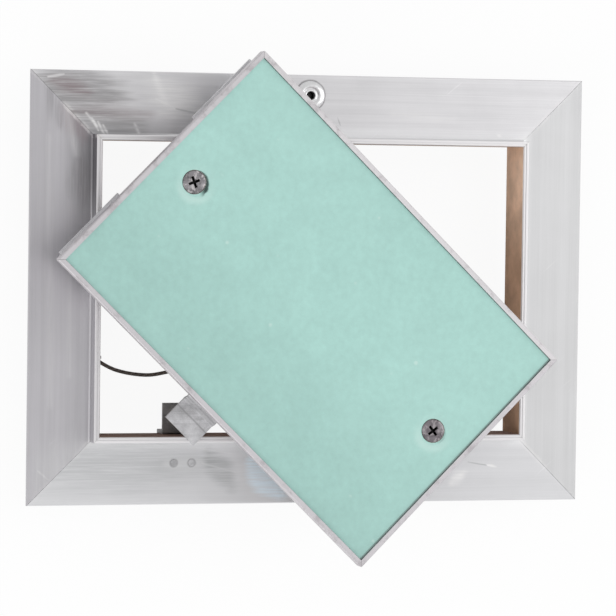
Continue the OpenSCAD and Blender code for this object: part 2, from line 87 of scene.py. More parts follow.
def srgb(red: int, green: int, blue: int) -> Colour:
    """Gives a colour of the screen as linear values.

    Args:
        red: Red, 0 to 255.
        green: Green, 0 to 255.
        blue: Blue, 0 to 255.

    Returns:
        The linear colour with an alpha of 1.
    """
    shares = [value / 255.0 for value in (red, green, blue)]
    linear = [share / 12.92 if share <= 0.04045 else ((share + 0.055) / 1.055) ** 2.4
              for share in shares]
    return (*linear, 1.0)


# Height of the frame's front face, and how far from it a mark still shows.
FRONT_Z = 1.8 * MM
FRONT_SLACK = 0.5 * MM
# Scale of the grain along a member, for drawing lines and for marks.
DRAWN_OUT = 0.012
SMEARED_OUT = 0.04
# Depth of the bump, for drawing lines and for grain.
LINE_DEPTH = 0.06 * MM
GRAIN_DEPTH = 0.08 * MM
# Colours of marks, wear and dirt, and of painted light and shade.
PALE = srgb(240, 239, 239)
DULL = srgb(126, 130, 130)
ROSY = srgb(142, 124, 127)
SMOKY = srgb(116, 113, 114)
# Painted light, against the door's shade on the bottom member.
COOL_PAINTED_LIGHT = srgb(224, 238, 248)
EVEN = srgb(214, 214, 215)
GRIME = srgb(104, 102, 104)
# The next three: painted shade at the frame collar's foot, painted light over that foot, and a painted
# highlight on the rim's top.
SHADOW = srgb(70, 68, 72)
PAINTED_LIGHT = srgb(246, 246, 247)
RIM_HIGHLIGHT = srgb(238, 236, 237)
FILED = srgb(232, 230, 230)
HANDLED = srgb(150, 143, 146)
PITTED = srgb(70, 66, 64)
# Painted shade in the pop rivet's hole.
HOLE_SHADE = srgb(24, 23, 24)
CHIPPED = srgb(216, 211, 212)
DIRT = srgb(82, 80, 84)
STAIN = srgb(92, 78, 86)
# Painted shade in the screws' cross recess.
RECESS_SHADE = srgb(22, 20, 21)
# Painted shade along the tongue's crease and bend.
CREASE_SHADE = srgb(128, 127, 129)
# Pale torn paper round the screws, laid brighter on their lower side as painted light.
TORN_PALE = srgb(208, 232, 226)
# Painted shade in the dimple beside a screw's head.
DIMPLE_SHADE = srgb(40, 58, 55)
# Painted shade of the gap between the board and the door's edge.
GAP_SHADE = srgb(118, 132, 128)
FLECK = srgb(226, 238, 232)


@dataclass(frozen=True)
class Value:
    """A number, vector or colour that a node gives. Working with it adds nodes to its tree."""

    net: "Net"
    socket: bpy.types.NodeSocket

    def math(self, operation: str, *others: object) -> "Value":
        """Adds a Math node, with this number as its first input."""
        return self.net.give("ShaderNodeMath", dict(enumerate((self, *others))), operation=operation)

    def __add__(self, other: object) -> "Value":
        """Adds a number."""
        return self.math("ADD", other)

    def __sub__(self, other: object) -> "Value":
        """Takes a number off."""
        return self.math("SUBTRACT", other)

    def __rsub__(self, other: float) -> "Value":
        """Takes this number off a plain one."""
        return self.net.give("ShaderNodeMath", {0: other, 1: self}, operation="SUBTRACT")

    def __mul__(self, other: object) -> "Value":
        """Multiplies by a number."""
        return self.math("MULTIPLY", other)

    def __truediv__(self, other: object) -> "Value":
        """Divides by a number."""
        return self.math("DIVIDE", other)

    def __abs__(self) -> "Value":
        """Drops the sign."""
        return self.math("ABSOLUTE")

    def clamped(self) -> "Value":
        """Keeps this number between 0 and 1."""
        return self.net.give("ShaderNodeMath", {0: self, 1: 0.0}, operation="ADD", use_clamp=True)

    def rise(self, low: float, high: float) -> "Value":
        """Maps this number smoothly, from 0 at the low limit to 1 at the high one."""
        limits = {"Value": self, "From Min": low, "From Max": high}
        return self.net.give("ShaderNodeMapRange", limits, "Result", interpolation_type="SMOOTHSTEP")

    def fall(self, low: float, high: float) -> "Value":
        """Maps this number smoothly, from 1 at the low limit to 0 at the high one."""
        return 1.0 - self.rise(low, high)

    def mix(self, first: object, second: object) -> "Value":
        """Mixes two colours, with this number as the second one's share."""
        return self.net.give("ShaderNodeMix", {0: self, 6: first, 7: second}, 2, data_type="RGBA")

    def tint(self, colour: object, strength: float) -> "Value":
        """Lightens and darkens a colour by this tone round 0."""
        plain = colour[:3] if isinstance(colour, tuple) else colour
        return self.net.scale(plain, self * strength + 1.0)

    def vector(self, operation: str, other: object) -> "Value":
        """Adds a Vector Math node that works on this vector and another one."""
        output = "Value" if operation in ("DISTANCE", "DOT_PRODUCT") else "Vector"
        return self.net.give("ShaderNodeVectorMath", {0: self, 1: other}, output, operation=operation)

    def stretched(self, factors: object) -> "Value":
        """Multiplies these coordinates by factors for X, Y and Z."""
        return self.vector("MULTIPLY", factors)

    def turned(self, angle: float, middle: Point = (0.0, 0.0)) -> "Value":
        """Gives these coordinates in the frame of a piece that lies turned round Z."""
        inputs = {"Vector": self, "Location": (*middle, 0.0), "Rotation": (0.0, 0.0, angle)}
        return self.net.give("ShaderNodeMapping", inputs, vector_type="TEXTURE")

    def parts(self) -> list["Value"]:
        """Gives X, Y and Z of these coordinates."""
        split = self.net.add("ShaderNodeSeparateXYZ", {0: self})
        return [Value(self.net, socket) for socket in split.outputs]

    def from_axis(self, x: float, y: float) -> "Value":
        """Gives the distance of these coordinates from an upright axis."""
        return self.stretched(FLAT).vector("DISTANCE", (x, y, 0.0))

    def along(self, way: Point, start: Point = (0.0, 0.0)) -> "Value":
        """Gives how far these coordinates lie along a direction, from a start."""
        return self.vector("DOT_PRODUCT", (*way, 0.0)) - (way[0] * start[0] + way[1] * start[1])

    def noise(self, scale: float, detail: float, roughness: float) -> "Value":
        """Gives a noise of 0 to 1 at these coordinates."""
        inputs = {"Vector": self, "Scale": scale, "Detail": detail, "Roughness": roughness}
        return self.net.give("ShaderNodeTexNoise", inputs, "Fac")


class Net:
    """Adds nodes to a material or a group, and links them."""

    def __init__(self, tree: bpy.types.NodeTree) -> None:
        """Keeps the tree that nodes are added to."""
        self.tree = tree

    def put(self, target: bpy.types.NodeSocket, value: object) -> None:
        """Links an input to a node's value, or sets it to a plain one.

        Args:
            target: The input.
            value: The value.
        """
        if isinstance(value, Value):
            self.tree.links.new(value.socket, target)
        else:
            target.default_value = value

    def add(self, kind: str, inputs: dict[object, object], **settings: object) -> bpy.types.Node:
        """Adds a node.

        Args:
            kind: The node's type name.
            inputs: Values of its inputs, by name or number.
            **settings: Attributes of the node to set.

        Returns:
            The new node.
        """
        node = self.tree.nodes.new(kind)
        for name, value in settings.items():
            setattr(node, name, value)
        for name, value in inputs.items():
            self.put(node.inputs[name], value)
        return node

    def give(self, kind: str, inputs: dict[object, object], output: object = 0,
             **settings: object) -> Value:
        """Adds a node and gives one of its outputs, by name or number."""
        return Value(self, self.add(kind, inputs, **settings).outputs[output])

    def scale(self, vector: object, factor: object) -> Value:
        """Multiplies a vector or a colour by one number."""
        return self.give("ShaderNodeVectorMath", {0: vector, "Scale": factor}, operation="SCALE")

    def group(self, tree: bpy.types.NodeTree, **inputs: object) -> dict[str, Value]:
        """Adds a shared effect, and gives its outputs by name."""
        node = self.add("ShaderNodeGroup", inputs, node_tree=tree)
        return {socket.name: Value(self, socket) for socket in node.outputs}


class Coat(Net):
    """The nodes of a material, with its Object coordinates and its colour so far."""

    def __init__(self, material: bpy.types.Material, colour: Colour) -> None:
        """Finds the shader, adds the coordinates and starts with a plain colour.

        Args:
            material: The material.
            colour: Its main colour.
        """
        super().__init__(material.node_tree)
        self.shader = self.tree.nodes["Principled BSDF"]
        self.place = self.give("ShaderNodeTexCoord", {}, "Object")
        self.colour: object = colour

    def tone(self, tone: Value, strength: float) -> None:
        """Lightens and darkens the colour by a tone round 0."""
        self.colour = tone.tint(self.colour, strength)

    def paint(self, other: object, share: Value) -> None:
        """Lays another colour over the colour, as far as its share goes."""
        self.colour = share.mix(self.colour, other)

    def feed(self, socket: str, value: object) -> None:
        """Feeds an input of the shader."""
        self.put(self.shader.inputs[socket], value)

    def close(self, gloss: Value, height: Value, strength: float, depth: float) -> None:
        """Feeds the shader its colour, roughness and bump.

        Args:
            gloss: The roughness.
            height: The bump's height.
            strength: The bump's strength.
            depth: The height's span in metres.
        """
        self.feed("Base Color", self.colour)
        self.feed("Roughness", gloss.clamped())
        bump = {"Height": height, "Strength": strength, "Distance": depth}
        self.feed("Normal", self.give("ShaderNodeBump", bump, "Normal"))


class Effect:
    """Shader node groups that several finishes share, each built once."""

    @staticmethod
    def start(name: str, **inputs: object) -> list[Value]:
        """Starts a node group.

        Args:
            name: The group's name.
            **inputs: Its inputs with their defaults, numbers or vectors.

        Returns:
            What the group is given, in the inputs' order.
        """
        tree = bpy.data.node_groups.new(name, "ShaderNodeTree")
        for label, default in inputs.items():
            kind = "NodeSocketFloat" if isinstance(default, float) else "NodeSocketVector"
            socket = tree.interface.new_socket(label, in_out="INPUT", socket_type=kind)
            socket.default_value = default
        net = Net(tree)
        given = net.add("NodeGroupInput", {}).outputs
        return [Value(net, given[label]) for label in inputs]

    @staticmethod
    def end(**results: Value) -> bpy.types.NodeTree:
        """Ends a node group.

        Args:
            **results: The numbers that it gives, by the names of its outputs.

        Returns:
            The group.
        """
        net = next(iter(results.values())).net
        for label in results:
            net.tree.interface.new_socket(label, in_out="OUTPUT", socket_type="NodeSocketFloat")
        net.add("NodeGroupOutput", results)
        return net.tree

    @staticmethod
    @cache
    def drawn_lines() -> bpy.types.NodeTree:
        """Gives the group of an extrusion's fine drawing lines and cross scratches.

        Returns:
            The group, with Vector, Stretch and Scratches in, and Tone, Height and Rough out.
        """
        place, stretch, scratches = Effect.start(
            "drawn_lines", Vector=ORIGIN, Stretch=(1.0, 1.0, 1.0), Scratches=0.5)
        along = place.stretched(stretch)
        fine = along.noise(2600.0, 3.0, 0.65)
        broad = along.noise(420.0, 4.0, 0.6)
        cloud = place.noise(38.0, 5.0, 0.6)
        across = place.turned(0.72).stretched(Run.ALONG_X.drawn(0.05))
        cut = across.noise(900.0, 2.0, 0.5).rise(0.68, 0.74)
        scratch = cut * place.noise(60.0, 2.0, 0.5).rise(0.52, 0.66) * scratches
        tone = (fine - 0.5) * 0.5 + (broad - 0.5) * 0.9 + (cloud - 0.5) * 0.55 + scratch * 0.5
        return Effect.end(Tone=tone, Height=fine * 0.5 + broad - scratch,
                          Rough=cloud * 0.5 + broad * 0.5)

    @staticmethod
    @cache
    def smear() -> bpy.types.NodeTree:
        """Gives the group of one ragged mark along a line on the frame's front face.

        Returns:
            The group, with Vector, Grain, Start, Along, Half and Soft in, and Mask out.
        """
        place, grain, start, along, half, soft = Effect.start(
            "smear", Vector=ORIGIN, Grain=ORIGIN, Start=ORIGIN, Along=(0.01, 0.0, 0.0), Half=MM, Soft=MM)
        away = place.stretched(FLAT).vector("SUBTRACT", start)
        share = away.vector("DOT_PRODUCT", along) / along.vector("DOT_PRODUCT", along)
        share = share.clamped()
        gap = away.vector("DISTANCE", place.net.scale(along, share))
        reach = (grain.noise(420.0, 5.0, 0.7) - 0.5) * (soft * 2.2) + gap
        thick = half * (share * (1.0 - share) * 4.0 * 0.8 + 0.2)
        mask = ((reach - thick) / soft).fall(-0.5, 1.0)
        broken = grain.noise(1300.0, 4.0, 0.7).rise(0.30, 0.62) * 0.65 + 0.35
        front = place.parts()[2].math("COMPARE", FRONT_Z, FRONT_SLACK)
        return Effect.end(Mask=mask * broken * front)

    @staticmethod
    @cache
    def speckle() -> bpy.types.NodeTree:
        """Gives the group of fine mottling with sparse specks, for paper, zinc and dust.

        Returns:
            The group, with Vector, Scale and Specks in, and Tone, Spots and Height out.
        """
        place, scale, specks = Effect.start("speckle", Vector=ORIGIN, Scale=1.0, Specks=0.5)
        size = place.net.scale(place, scale)
        fibre = size.noise(1500.0, 4.0, 0.7)
        cells = {"Vector": size, "Scale": 130.0}
        dot = place.net.give("ShaderNodeTexVoronoi", cells, "Distance", feature="F1").fall(0.05, 0.13)
        spots = dot * size.noise(95.0, 1.0, 0.5).rise(0.60, 0.66) * specks
        tone = (fibre - 0.5) * 0.4 + (size.noise(70.0, 5.0, 0.6) - 0.5)
        return Effect.end(Tone=tone, Spots=spots, Height=spots * 0.6 + fibre)


@dataclass(frozen=True)
class Finish:
    """A finish: a name, a main colour and its gloss. Each kind of finish adds its own nodes."""

    name: str
    colour: Colour
    rough: float = 0.5
    metallic: float = 0.0

    def material(self) -> bpy.types.Material:
        """Makes the material.

        Returns:
            The material with its nodes.
        """
        material = bpy.data.materials.new(self.name)
        material.use_nodes = True
        material.diffuse_color = self.colour
        coat = Coat(material, self.colour)
        coat.feed("Metallic", self.metallic)
        self.lay(coat)
        return material

    def lay(self, coat: Coat) -> None:
        """Lays out the nodes; each kind of finish does this in its own way."""
        raise NotImplementedError


@dataclass(frozen=True)
class Mark:
    """A scratch, rub, stain, painted shade or painted light along a line on the frame's front face, in
    millimetres.
    """

    start: Point
    end: Point
    half: float
    soft: float
    colour: Colour
    strength: float


@dataclass(frozen=True)
class DrawnAluminium(Finish):
    """Mill-finish aluminium with drawing lines, scratches, filed mitres, painted shade and light at the
    collar's root and a painted highlight on the rim.

    The walls round the opening carry a painted brown reflection, from wall_low up to wall_high, with
    painted shade deeper in, and are duller than the front.
    Each of the rings round rivets has its place and radius in millimetres.
    """

    run: Run = Run.ALONG_X
    wall_high: Colour = srgb(178, 152, 132)
    wall_low: Colour = srgb(140, 116, 100)
    wall_dull: float = 0.8
    # The next three fields: how strong the painted shade at the collar's foot near the upper left corner
    # is, how far it reaches, and how strong the painted light over the foot elsewhere is.
    shade: float = 0.0
    reach: float = 2.0 * MM
    root_light: float = 0.5
    lines: float = 0.2
    opening: Point = (76.0 * MM, 51.0 * MM)
    marks: tuple[Mark, ...] = ()
    rings: tuple[tuple[float, ...], ...] = ()
    ring_grime: float = 0.55

    def shade_foot(self, coat: Coat, outward: Value) -> None:
        """Paints shade on the collar's foot near the upper left corner, light on the foot elsewhere and
        a highlight on the rim's top.

        Args:
            coat: The nodes of the material.
            outward: The distance from the opening.
        """
        x, y, z = coat.place.parts()
        near = (y - x).rise(82.0 * MM, 124.0 * MM)
        top = z.rise(8.0 * MM, 8.4 * MM)
        foot = ((outward - 2.0 * MM) / (near * self.reach + 4.5 * MM)).fall(0.0, 1.0) * (1.0 - top)
        # Painted shade at the collar's foot, strongest near the upper left corner.
        coat.paint(SHADOW, foot * near * self.shade)
        # Painted light over the foot away from that corner.
        coat.paint(PAINTED_LIGHT, foot * ((1.0 - near) * self.root_light))
        # Painted highlight on the rim's top.
        coat.paint(RIM_HIGHLIGHT, top * 0.75)

    def add_marks(self, coat: Coat) -> None:
        """Lays the member's marks, some of them painted shade and painted light, and a grimy ring round
        each rivet, over its colour.

        Args:
            coat: The nodes of the material.
        """
        grain = coat.place.stretched(self.run.drawn(SMEARED_OUT))
        for mark in self.marks:
            start, end = (Vector((*point, 0.0)) * MM for point in (mark.start, mark.end))
            smear = coat.group(Effect.smear(), Vector=coat.place, Grain=grain, Start=start,
                               Along=end - start, Half=mark.half * MM, Soft=mark.soft * MM)
            coat.paint(mark.colour, smear["Mask"] * mark.strength)
        for x, y, radius in self.rings:
            gap = coat.place.noise(700.0, 3.0, 0.6) * (0.5 * MM) + coat.place.from_axis(x * MM, y * MM)
            off = abs(gap - (radius + 0.35) * MM)
            coat.paint(GRIME, off.fall(0.1 * MM, 0.55 * MM) * self.ring_grime)

    def filed(self, coat: Coat, mitre: Value, outward: Value) -> Value:
        """Finds where the mitres were filed, most of all at the upper left corner.

        Args:
            coat: The nodes of the material.
            mitre: How far a point lies beside the mitre.
            outward: The distance from the opening.

        Returns:
            The mask of the filed metal.
        """
        x, y, _ = coat.place.parts()
        strip = (mitre - coat.place.noise(900.0, 4.0, 0.7) * (1.8 * MM)).fall(0.1 * MM, 0.7 * MM)
        patchy = coat.place.noise(140.0, 3.0, 0.6).rise(0.42, 0.62)
        corner = x.math("LESS_THAN", 0.0) * y.math("GREATER_THAN", 0.0)
        tip = outward.rise(15.0 * MM, 20.0 * MM) * -0.75 + 1.0
        return strip * patchy * (corner * 0.6 + 0.25) * tip

    def lay(self, coat: Coat) -> None:
        """Lays out the metal's nodes.

        Args:
            coat: The nodes of the material.
        """
        drawn = coat.group(Effect.drawn_lines(), Vector=coat.place, Stretch=self.run.drawn(DRAWN_OUT),
                           Scratches=0.8)
        x, y, z = coat.place.parts()
        across, up = abs(x) - self.opening[0], abs(y) - self.opening[1]
        outward = across.math("MAXIMUM", up)
        coat.tone(drawn["Tone"], self.lines)
        self.shade_foot(coat, outward)
        filed = self.filed(coat, abs(across - up), outward)
        coat.paint(FILED, filed)
        self.add_marks(coat)
        inside = outward.math("LESS_THAN", 0.04 * MM) * z.fall(7.8 * MM, 8.3 * MM)
        # The walls round the opening: a painted brown reflection, lighter towards the top, with painted
        # shade that darkens them deeper in.
        wall = y.rise(4.0 * MM, 50.0 * MM).mix(self.wall_low, self.wall_high)
        wall = z.rise(-10.0 * MM, 8.0 * MM).tint(wall, 0.2)
        coat.paint((coat.place.noise(110.0, 3.0, 0.6) - 0.5).tint(wall, 0.9), inside)
        coat.feed("Metallic", inside * (-self.metallic * self.wall_dull) + self.metallic)
        gloss = inside * (0.6 * self.wall_dull) + (drawn["Rough"] * 0.22 + (self.rough - 0.1))
        coat.close(filed * 0.2 + gloss, drawn["Height"], 0.08, LINE_DEPTH)


@dataclass(frozen=True)
class EdgeAluminium(Finish):
    """Door edge: the same metal, sawn and handled, with grimy patches."""

    run: Run = Run.ALONG_X
    turn: float = 0.0

    def lay(self, coat: Coat) -> None:
        """Lays out the edge's nodes.

        Args:
            coat: The nodes of the material.
        """
        drawn = coat.group(Effect.drawn_lines(), Vector=coat.place.turned(self.turn),
                           Stretch=self.run.drawn(DRAWN_OUT), Scratches=1.0)
        coat.tone(drawn["Tone"], 0.3)
        coat.paint(HANDLED, coat.place.noise(230.0, 4.0, 0.65).rise(0.50, 0.70) * 0.4)
        coat.close(drawn["Rough"] * 0.25 + self.rough, drawn["Height"], 0.12, LINE_DEPTH)


@dataclass(frozen=True)
class SheetSteel(Finish):
    """Sheet steel, zinc plated or dark, with mottling, rolling lines and rubbed spots."""

    rubbed: Colour = PALE
    wear: float = 0.4
    mottling: float = 0.5
    grain: float = 0.35

    def lay(self, coat: Coat) -> None:
        """Lays out the sheet's nodes.

        Args:
            coat: The nodes of the material.
        """
        mottle = coat.group(Effect.speckle(), Vector=coat.place, Scale=2.2, Specks=0.6)
        drawn = coat.group(Effect.drawn_lines(), Vector=coat.place,
                           Stretch=Run.ALONG_X.drawn(DRAWN_OUT), Scratches=1.0)
        coat.tone(mottle["Tone"], self.mottling)
        coat.tone(drawn["Tone"], self.grain)
        coat.paint(self.rubbed, mottle["Tone"].rise(0.06, 0.22) * self.wear)
        coat.paint(PITTED, mottle["Spots"])
        self.over(coat)
        coat.close(mottle["Tone"] * 0.35 + self.rough, mottle["Height"], 0.2, GRAIN_DEPTH)

    def over(self, coat: Coat) -> None:
        """Lays what a special piece has over its metal; plain sheet has nothing."""


@dataclass(frozen=True)
class RivetAluminium(SheetSteel):
    """A pop rivet's metal, with painted shade in the hole round its axis."""

    axis: Point = (0.0, 0.0)
    hole: float = 1.5 * MM

    def over(self, coat: Coat) -> None:
        """Paints shade in the hole and makes it not metallic.

        Args:
            coat: The nodes of the material.
        """
        # Painted shade in the hole.
        hole_shade = coat.place.from_axis(*self.axis).fall(self.hole * 0.98, self.hole * 1.06)
        coat.paint(HOLE_SHADE, hole_shade)
        coat.feed("Metallic", hole_shade * -self.metallic + self.metallic)


@dataclass(frozen=True)
class ScrewSteel(SheetSteel):
    """A screw's steel: chipped and dirty, darker on the right, with painted shade in its recess."""

    face_z: float = 28.2 * MM
    stain: float = 0.4

    def over(self, coat: Coat) -> None:
        """Adds chips, dirt, a stain and painted shade in the recess.

        Args:
            coat: The nodes of the material.
        """
        x, _, z = coat.place.parts()
        skewed = coat.place.stretched((1.3, 0.8, 1.0))
        coat.paint(CHIPPED, coat.place.noise(700.0, 3.0, 0.6).rise(0.53, 0.61) * 0.6)
        coat.paint(DIRT, skewed.noise(560.0, 3.0, 0.6).rise(0.53, 0.61) * 0.6)
        coat.paint(STAIN, x.rise(0.0, 10.0 * MM) * self.stain)
        # Painted shade in the cross recess.
        coat.paint(RECESS_SHADE, z.fall(self.face_z - 0.45 * MM, self.face_z - 0.12 * MM))


@dataclass(frozen=True)
class TonguePlate(SheetSteel):
    """The hook tongue's plate, with a faint line pressed across it and painted shade along that line and
    at the bend.
    """

    turn: float = 0.0
    middle: Point = (0.0, 0.0)
    line: float = -53.4 * MM
    bend: float = -49.9 * MM

    def over(self, coat: Coat) -> None:
        """Paints shade along the pressed line and at the bend.

        Args:
            coat: The nodes of the material.
        """
        local = coat.place.turned(self.turn, self.middle)
        along = local.parts()[1]
        line = abs(along - self.line + local.noise(500.0, 3.0, 0.6) * (0.4 * MM))
        bend = abs(along - self.bend)
        # The pressed line and the bend get painted shade.
        pressed = line.fall(0.1 * MM, 0.4 * MM) * 0.45
        coat.paint(CREASE_SHADE, pressed.math("MAXIMUM", bend.fall(0.3 * MM, 1.1 * MM) * 0.5))


@dataclass(frozen=True)
class BoardPaper(Finish):
    """Paper or gypsum of the board: matt, fibrous, with pale specks and faint rubbed streaks.

    Each of the rings has its place in millimetres, how pale its torn rim is and how dark the painted
    shade beside its screw's head is.
    """

    streak: Colour = PALE
    specks: float = 0.5
    rings: tuple[tuple[float, ...], ...] = ()
    low_side_shade: float = 0.0
    gap_shade_from: float = 0.0
    gap_way: Point = (0.71325, -0.70091)
    middle: Point = (-6.3 * MM, -6.4 * MM)

    def dimple_shade(self, coat: Coat) -> None:
        """Paints the paper round the screws: a pale torn rim, brighter on its lower side as painted
        light, and painted shade beside the head at each.

        Args:
            coat: The nodes of the material.
        """
        for x, y, pale, dimple_shade in self.rings:
            screw = (x * MM, y * MM)
            wide = coat.place.noise(330.0, 4.0, 0.6) * (1.6 * MM) + coat.place.from_axis(*screw)
            ring = wide.rise(4.6 * MM, 5.6 * MM) * wide.fall(6.2 * MM, 8.8 * MM)
            # The pale torn rim, brighter on its lower side as painted light.
            lit_below = coat.place.along((-0.35, -0.94), screw).rise(-2.0 * MM, 6.0 * MM)
            coat.paint(TORN_PALE, ring * (lit_below * 0.85 + 0.15) * pale)
            # Painted shade in the dimple beside the head.
            beside = coat.place.along((0.9, 0.4), screw).rise(-0.5 * MM, 2.2 * MM)
            coat.paint(DIMPLE_SHADE, beside * wide.fall(5.1 * MM, 5.7 * MM) * dimple_shade)

    def lay(self, coat: Coat) -> None:
        """Lays out the paper's nodes.

        Args:
            coat: The nodes of the material.
        """
        fibres = coat.group(Effect.speckle(), Vector=coat.place, Specks=self.specks)
        coat.tone(fibres["Tone"], 0.2)
        coat.tone(coat.place.noise(430.0, 3.0, 0.65) - 0.5, 0.2)
        # Painted shade: the paper is darker towards its lower left side.
        coat.tone(coat.place.along((-0.7, -0.71)).rise(2.0 * MM, 50.0 * MM), -self.low_side_shade)
        self.dimple_shade(coat)
        # Painted shade of the gap between the board and the door's edge, along one end.
        if self.gap_shade_from:
            end = coat.place.along(self.gap_way, self.middle)
            coat.paint(GAP_SHADE, end.rise(self.gap_shade_from, self.gap_shade_from + 0.2 * MM) * 0.75)
        coat.paint(self.streak, coat.place.noise(26.0, 5.0, 0.6).rise(0.42, 0.72) * 0.12)
        coat.paint(FLECK, fibres["Spots"])
        coat.close(fibres["Tone"] * 0.2 + self.rough, fibres["Height"], 0.12, GRAIN_DEPTH)


@dataclass(frozen=True)
class CordSheath(Finish):
    """The cord: dark twisted strands with a painted sheen on their crowns, by the tube's own UV map."""

    pale: Colour = PALE
    strands: float = 3.0
    turns: float = 420.0

    def lay(self, coat: Coat) -> None:
        """Lays out the strands' nodes.

        Args:
            coat: The nodes of the material.
        """
        around, along, _ = coat.give("ShaderNodeUVMap", {}, "UV", uv_map="lay").parts()
        wave = abs(((around * self.strands + along * self.turns) * math.pi).math("SINE"))
        fluff = coat.place.noise(2200.0, 3.0, 0.6)
        # Painted sheen on the strands' crowns.
        coat.paint(self.pale, wave * 0.7)
        coat.tone(fluff - 0.5, 0.8)
        coat.close(fluff * 0.2 + self.rough, wave, 0.6, 0.2 * MM)


class Shop:
    """Hands out each finish's material once."""

    def __init__(self) -> None:
        """Starts with no material made."""
        self.materials: dict[str, bpy.types.Material] = {}

    def get(self, finish: Finish) -> bpy.types.Material:
        """Gives a finish's material.

        Args:
            finish: The finish.

        Returns:
            Its material, made on the first call.
        """
        if finish.name not in self.materials:
            self.materials[finish.name] = finish.material()
        return self.materials[finish.name]

    def dress(self, finish: Finish, *nodes: str) -> None:
        """Gives CAD nodes a finish.

        Args:
            finish: The finish.
            *nodes: The nodes' names.
        """
        for node in nodes:
            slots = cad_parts[node].data.materials
            for index in range(len(slots)):
                slots[index] = self.get(finish)
            LOG.info("dressed %s as %s", node, finish.name)


SHOP = Shop()
# Place of the catch's rivet on the top member, in millimetres.
CATCH_RIVET = (-0.8, 67.8)
# Marks of the top, bottom and left members: scratches, rubs and stains, and some painted shade and
# painted light. A later mark lies over an earlier one.
TOP_MARKS = (
    # A smudge with painted shade that darkens the upper left corner.
    Mark((-100.0, 68.5), (-70.0, 67.0), 6.5, 6.0, SMOKY, 0.62),
    # Painted shade along the collar's foot near the upper left corner.
    Mark((-88.5, 59.0), (-61.0, 57.0), 2.6, 4.0, SMOKY, 0.46),
    # Painted light, against the door's shade near the upper left.
    Mark((-56.0, 70.0), (-42.0, 60.0), 5.0, 6.0, PALE, 0.8),
    Mark((-92.0, 71.0), (-80.0, 67.5), 1.6, 3.0, ROSY, 0.6),
    Mark((-84.5, 61.6), (-58.1, 60.0), 1.6, 3.0, ROSY, 0.35),
    Mark((-56.8, 74.4), (-52.5, 63.9), 0.8, 1.6, PALE, 0.75),
    Mark((-56.0, 65.6), (-48.9, 62.3), 0.15, 0.5, PALE, 0.7),
    Mark((-48.9, 62.3), (-42.5, 61.0), 0.1, 0.4, DULL, 0.45),
    Mark((-76.4, 57.3), (-74.2, 53.2), 0.3, 0.7, PALE, 0.95),
    Mark((-78.5, 58.6), (-76.2, 54.4), 0.3, 0.6, PALE, 0.95),
    Mark((-80.5, 60.2), (-76.6, 55.8), 0.25, 0.7, PALE, 0.8),
    Mark((-74.6, 56.3), (-73.0, 53.4), 0.25, 0.6, PALE, 0.9),
    Mark((-63.5, 57.0), (-62.0, 53.8), 0.2, 0.8, PALE, 0.6),
    Mark((-94.0, 72.4), (-88.5, 73.4), 0.25, 0.5, PALE, 0.85),
    Mark((68.5, 55.0), (69.6, 54.6), 0.4, 0.7, PALE, 0.8),
    Mark((9.3, 60.2), (10.3, 57.6), 0.12, 0.3, DULL, 0.5),
    Mark((30.0, 62.0), (52.0, 60.5), 0.8, 3.0, PALE, 0.25))
LOW_MARKS = (
    # Painted shade over the bottom member's left part.
    Mark((-96.0, -62.0), (-40.0, -60.0), 7.0, 9.0, DULL, 0.3),
    # Painted shade cast by the tongue and the door.
    Mark((-36.0, -56.8), (-27.6, -68.5), 3.4, 3.0, DULL, 0.4),
    # Painted light against the door's shade beside its lower left edge.
    Mark((-20.0, -57.0), (-10.0, -72.0), 6.0, 2.5, COOL_PAINTED_LIGHT, 0.85),
    Mark((-40.0, -55.4), (-27.5, -57.5), 0.1, 0.5, PALE, 0.3),
    Mark((-38.0, -60.8), (-26.0, -64.0), 0.1, 0.5, PALE, 0.3),
    Mark((-50.5, -61.0), (-38.5, -60.6), 1.4, 2.5, PALE, 0.25),
    Mark((53.4, -68.2), (57.8, -64.9), 1.2, 1.8, PALE, 0.8),
    Mark((66.4, -62.3), (69.8, -63.0), 0.25, 0.5, PALE, 0.9),
    Mark((59.3, -61.2), (66.2, -62.4), 0.08, 0.3, DULL, 0.5))
SIDE_MARKS = (
    Mark((-88.0, 62.0), (-81.0, 52.0), 2.6, 4.0, ROSY, 0.45),
    Mark((-93.5, 70.0), (-90.0, 56.0), 1.4, 3.0, SMOKY, 0.35),
    # Painted shade beside the collar's foot.
    Mark((-81.5, 44.0), (-80.5, 30.0), 3.0, 6.0, SMOKY, 0.5),
    Mark((-93.0, 52.0), (-92.0, -40.0), 0.5, 2.5, PALE, 0.2),
    Mark((-86.0, 30.0), (-85.5, -30.0), 0.3, 1.4, PALE, 0.2),
    Mark((-88.0, 66.0), (-84.0, 46.0), 0.6, 2.0, PALE, 0.3),
    Mark((-97.0, -70.0), (-82.0, -56.0), 7.0, 8.0, EVEN, 0.45),
    Mark((-96.0, -63.0), (-92.5, -66.0), 0.15, 0.5, PALE, 0.4))
KEEPER_RINGS = tuple((side + step, -60.6, 1.2) for side in (-45.0, 45.0) for step in (-3.2, 3.2))
# The four members are one metal in lit and shaded copies: each main colour is set for how light falls on
# that member, and the left member's darker colour is painted shade.
FRAME_TOP = DrawnAluminium("frame_metal_top", srgb(217, 216, 218), 0.38, 0.85, shade=0.45, lines=0.34,
                           marks=TOP_MARKS, rings=((*CATCH_RIVET, 5.2),))
FRAME_LOW = DrawnAluminium("frame_metal_bottom", srgb(214, 214, 216), 0.38, 0.25,
                           wall_low=srgb(136, 112, 102), wall_dull=1.0, marks=LOW_MARKS,
                           rings=KEEPER_RINGS, ring_grime=0.3)
SHADED_FRAME_LEFT = DrawnAluminium("frame_metal_left_shaded", srgb(196, 194, 198), 0.36, 0.85, run=Run.ALONG_Y,
                            shade=0.55, reach=8.5 * MM, root_light=0.1, lines=0.26, marks=SIDE_MARKS)
